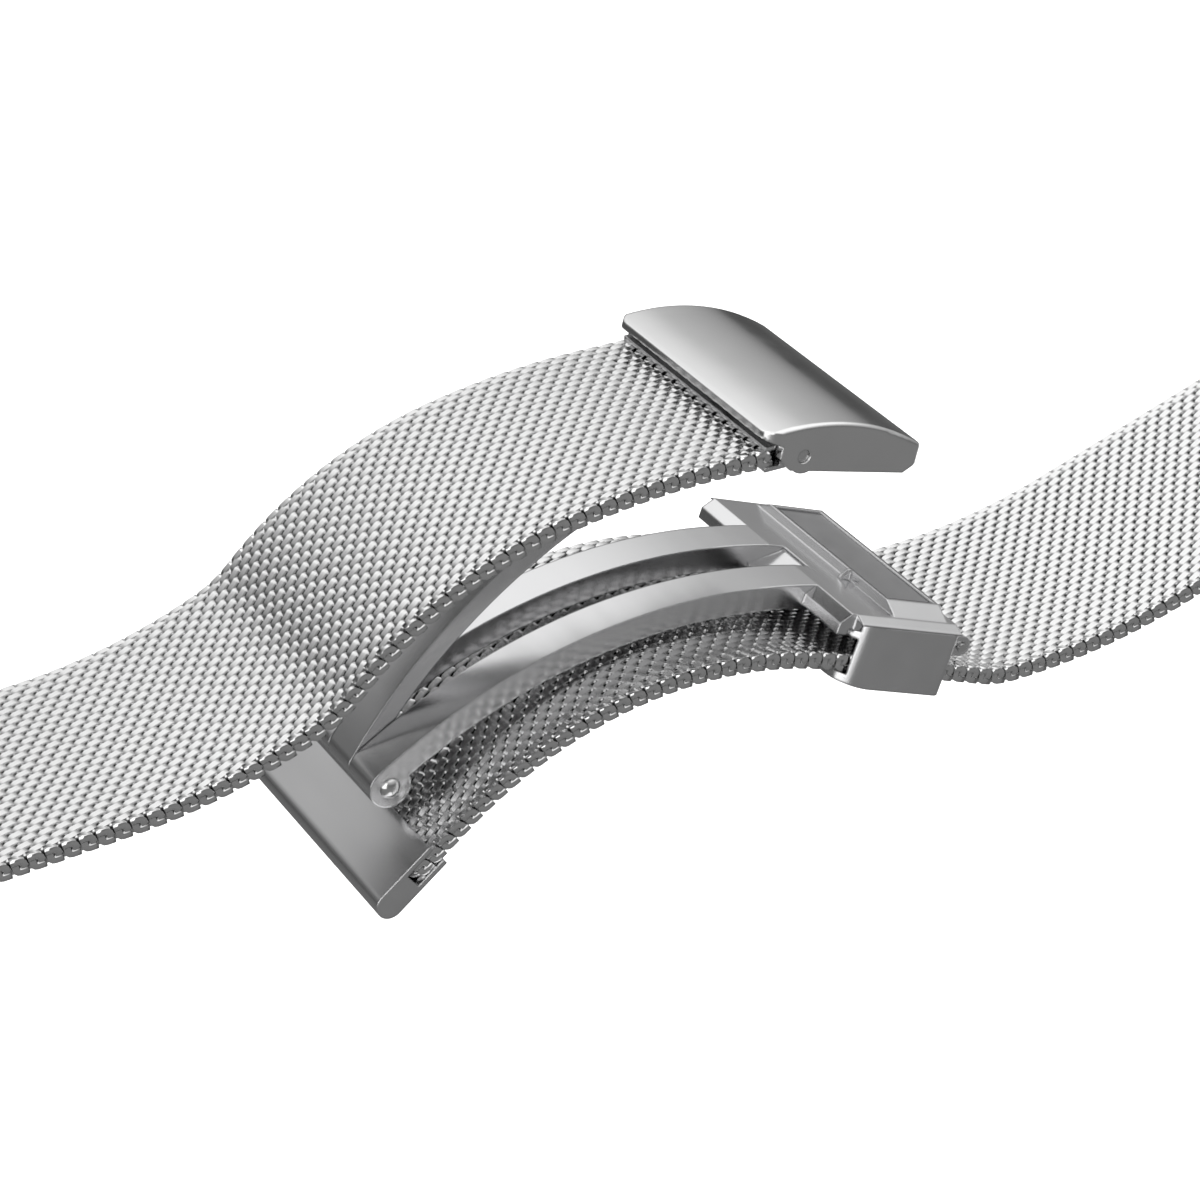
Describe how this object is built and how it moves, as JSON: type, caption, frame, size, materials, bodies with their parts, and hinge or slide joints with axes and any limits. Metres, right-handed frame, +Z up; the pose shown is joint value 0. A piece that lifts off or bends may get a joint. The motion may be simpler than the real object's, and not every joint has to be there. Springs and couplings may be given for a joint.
{
  "type": "woven mesh watch band",
  "caption": "Milanese mesh watch band in two straps, with a folding clasp that slides along the long strap, an end cap and quick release spring bars.",
  "frame": {"origin": "middle of the spring bar axis at the watch end of the long strap", "axes": "+Y along the spring bar, across the band; +Z up, out from the wrist; the band reaches away from the origin along -X"},
  "size_m": [0.1657, 0.022, 0.0357],
  "materials": {
    "mesh_steel": "satin woven wire",
    "clasp_steel": "fine satin",
    "polished_steel": "polished",
    "plate_steel": "fine matt",
    "pin_steel": "drawn",
    "spring_steel": "drawn wire"
  },
  "bodies": {
    "long_band": {"mesh_strap_long": "mesh_steel", "end_cap": "clasp_steel", "lug_fitting_long": "clasp_steel", "bar_tube_long": "pin_steel", "bar_tip_long": "pin_steel", "bar_spring_long": "spring_steel"},
    "slider": {"slider_housing": "clasp_steel", "lock_pin": "pin_steel"},
    "bridge": {"clasp_bridge": "clasp_steel", "plateau_plate": "plate_steel", "hinge_pin": "polished_steel"},
    "leaf": {"clasp_leaf": "clasp_steel"},
    "cover": {"clasp_cover": "polished_steel", "cover_pin": "pin_steel"},
    "short_band": {"mesh_strap_short": "mesh_steel", "strap_ferrule": "clasp_steel", "lug_fitting_short": "clasp_steel", "bar_tube_short": "pin_steel", "bar_tip_short": "pin_steel", "bar_spring_short": "spring_steel"},
    "plunger_long": {"bar_plunger_long": "pin_steel", "bar_knob_long": "pin_steel"},
    "plunger_short": {"bar_plunger_short": "pin_steel", "bar_knob_short": "pin_steel"}
  },
  "joints": [
    {"name": "clasp_slide", "type": "slide", "parent": "long_band", "child": "slider", "axis": [-0.9367, 0, 0.3502], "range_m": [0, 0.0035]},
    {"name": "bridge_lift", "type": "hinge", "parent": "slider", "child": "bridge", "pos_m": [-0.07676, 0, -0.0262], "axis": [0, 1, 0], "range_deg": [0, 60]},
    {"name": "leaf_fold", "type": "hinge", "parent": "bridge", "child": "leaf", "pos_m": [-0.12083, 0, -0.02736], "axis": [0, -1, 0], "range_deg": [-22.7, 70]},
    {"name": "cover_turn", "type": "hinge", "parent": "leaf", "child": "cover", "pos_m": [-0.09158, 0, -0.0062], "axis": [0, -1, 0], "range_deg": [-53.04, 17.2]},
    {"name": "strap_pivot", "type": "hinge", "parent": "leaf", "child": "short_band", "pos_m": [-0.09158, 0, -0.0062], "axis": [0, 1, 0], "range_deg": [-8, 1]},
    {"name": "bar_release_long", "type": "slide", "parent": "long_band", "child": "plunger_long", "axis": [0, 1, 0], "range_m": [0, 0.0013], "stiffness_N_per_m": 300, "springref_m": -0.003, "deforming": ["bar_spring_long"]},
    {"name": "bar_release_short", "type": "slide", "parent": "short_band", "child": "plunger_short", "axis": [0, 1, 0], "range_m": [0, 0.0013], "stiffness_N_per_m": 300, "springref_m": -0.003, "deforming": ["bar_spring_short"]}
  ],
  "couplings": [
    {"joint": "cover_turn", "follows": "leaf_fold", "ratio": -0.7577}
  ]
}
